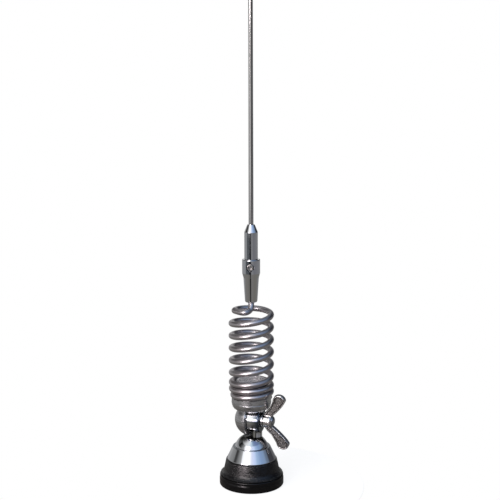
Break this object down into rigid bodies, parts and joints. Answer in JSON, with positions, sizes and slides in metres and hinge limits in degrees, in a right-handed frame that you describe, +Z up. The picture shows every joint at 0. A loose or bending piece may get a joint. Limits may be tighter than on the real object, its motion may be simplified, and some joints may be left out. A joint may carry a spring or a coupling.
{
  "type": "vehicle vhf whip antenna",
  "caption": "Screw-on vehicle whip antenna with a rubber-footed coupling base, a fold-down knuckle locked by a wing nut, a shock spring and a tapered steel whip.",
  "frame": {"origin": "centre of the base's underside, on the surface that the rubber gasket rests on", "axes": "+Z up along the whip, +X along the knuckle's pivot towards the wing nut"},
  "size_m": [0.0433, 0.0398, 0.4901],
  "materials": {
    "gasket_rubber": "smooth moulded rubber",
    "skirt_plastic": "fine leather grain",
    "insert_brass": "turned",
    "plated_steel": "zinc plated",
    "insulator_white": "turned",
    "contact_plating": "nickel plated brass",
    "chrome": "polished",
    "bolt_steel": "plain",
    "wing_steel": "satin",
    "spring_steel": "satin drawn wire"
  },
  "bodies": {
    "base": {"rubber_gasket": "gasket_rubber", "grip_skirt": "skirt_plastic", "thread_insert": "insert_brass"},
    "foot": {"foot_stud": "plated_steel", "retaining_washer": "plated_steel", "retaining_clip": "plated_steel", "pin_insulator": "insulator_white", "contact_pin": "contact_plating", "base_bell": "chrome", "bell_nut": "plated_steel", "hinge_foot": "chrome"},
    "mast": {"ball_cup": "chrome", "hinge_bolt": "bolt_steel", "base_spring": "spring_steel"},
    "washer": {"nut_washer": "bolt_steel"},
    "wings": {"wing_nut": "wing_steel"},
    "holder": {"whip_holder": "chrome", "grub_screw": "plated_steel"},
    "whip": {"whip_ferrule": "chrome", "whip_rod": "spring_steel"}
  },
  "joints": [
    {"name": "skirt_turn", "type": "hinge", "parent": "base", "child": "foot", "pos_m": [0, 0, 0.0164], "axis": [0, 0, 1], "continuous": true},
    {"name": "mast_tilt", "type": "hinge", "parent": "foot", "child": "mast", "pos_m": [0, 0, 0.04163], "axis": [1, 0, 0], "range_deg": [-90, 90]},
    {"name": "nut_travel", "type": "slide", "parent": "mast", "child": "washer", "axis": [1, 0, 0], "range_m": [0, 0.00174]},
    {"name": "nut_turn", "type": "hinge", "parent": "washer", "child": "wings", "pos_m": [0.0112, 0, 0.04163], "axis": [1, 0, 0], "range_deg": [0, 630]},
    {"name": "spring_flex", "type": "hinge", "parent": "mast", "child": "holder", "pos_m": [0, 0, 0.0885], "axis": [1, 0, 0], "range_deg": [-25, 25], "stiffness_Nm_per_rad": 3.8, "deforming": ["base_spring"]},
    {"name": "whip_draw", "type": "slide", "parent": "holder", "child": "whip", "axis": [0, 0, 1], "range_m": [0, 0.008]}
  ],
  "couplings": [
    {"joint": "nut_turn", "follows": "nut_travel", "rad_per_m": 6283.2}
  ]
}
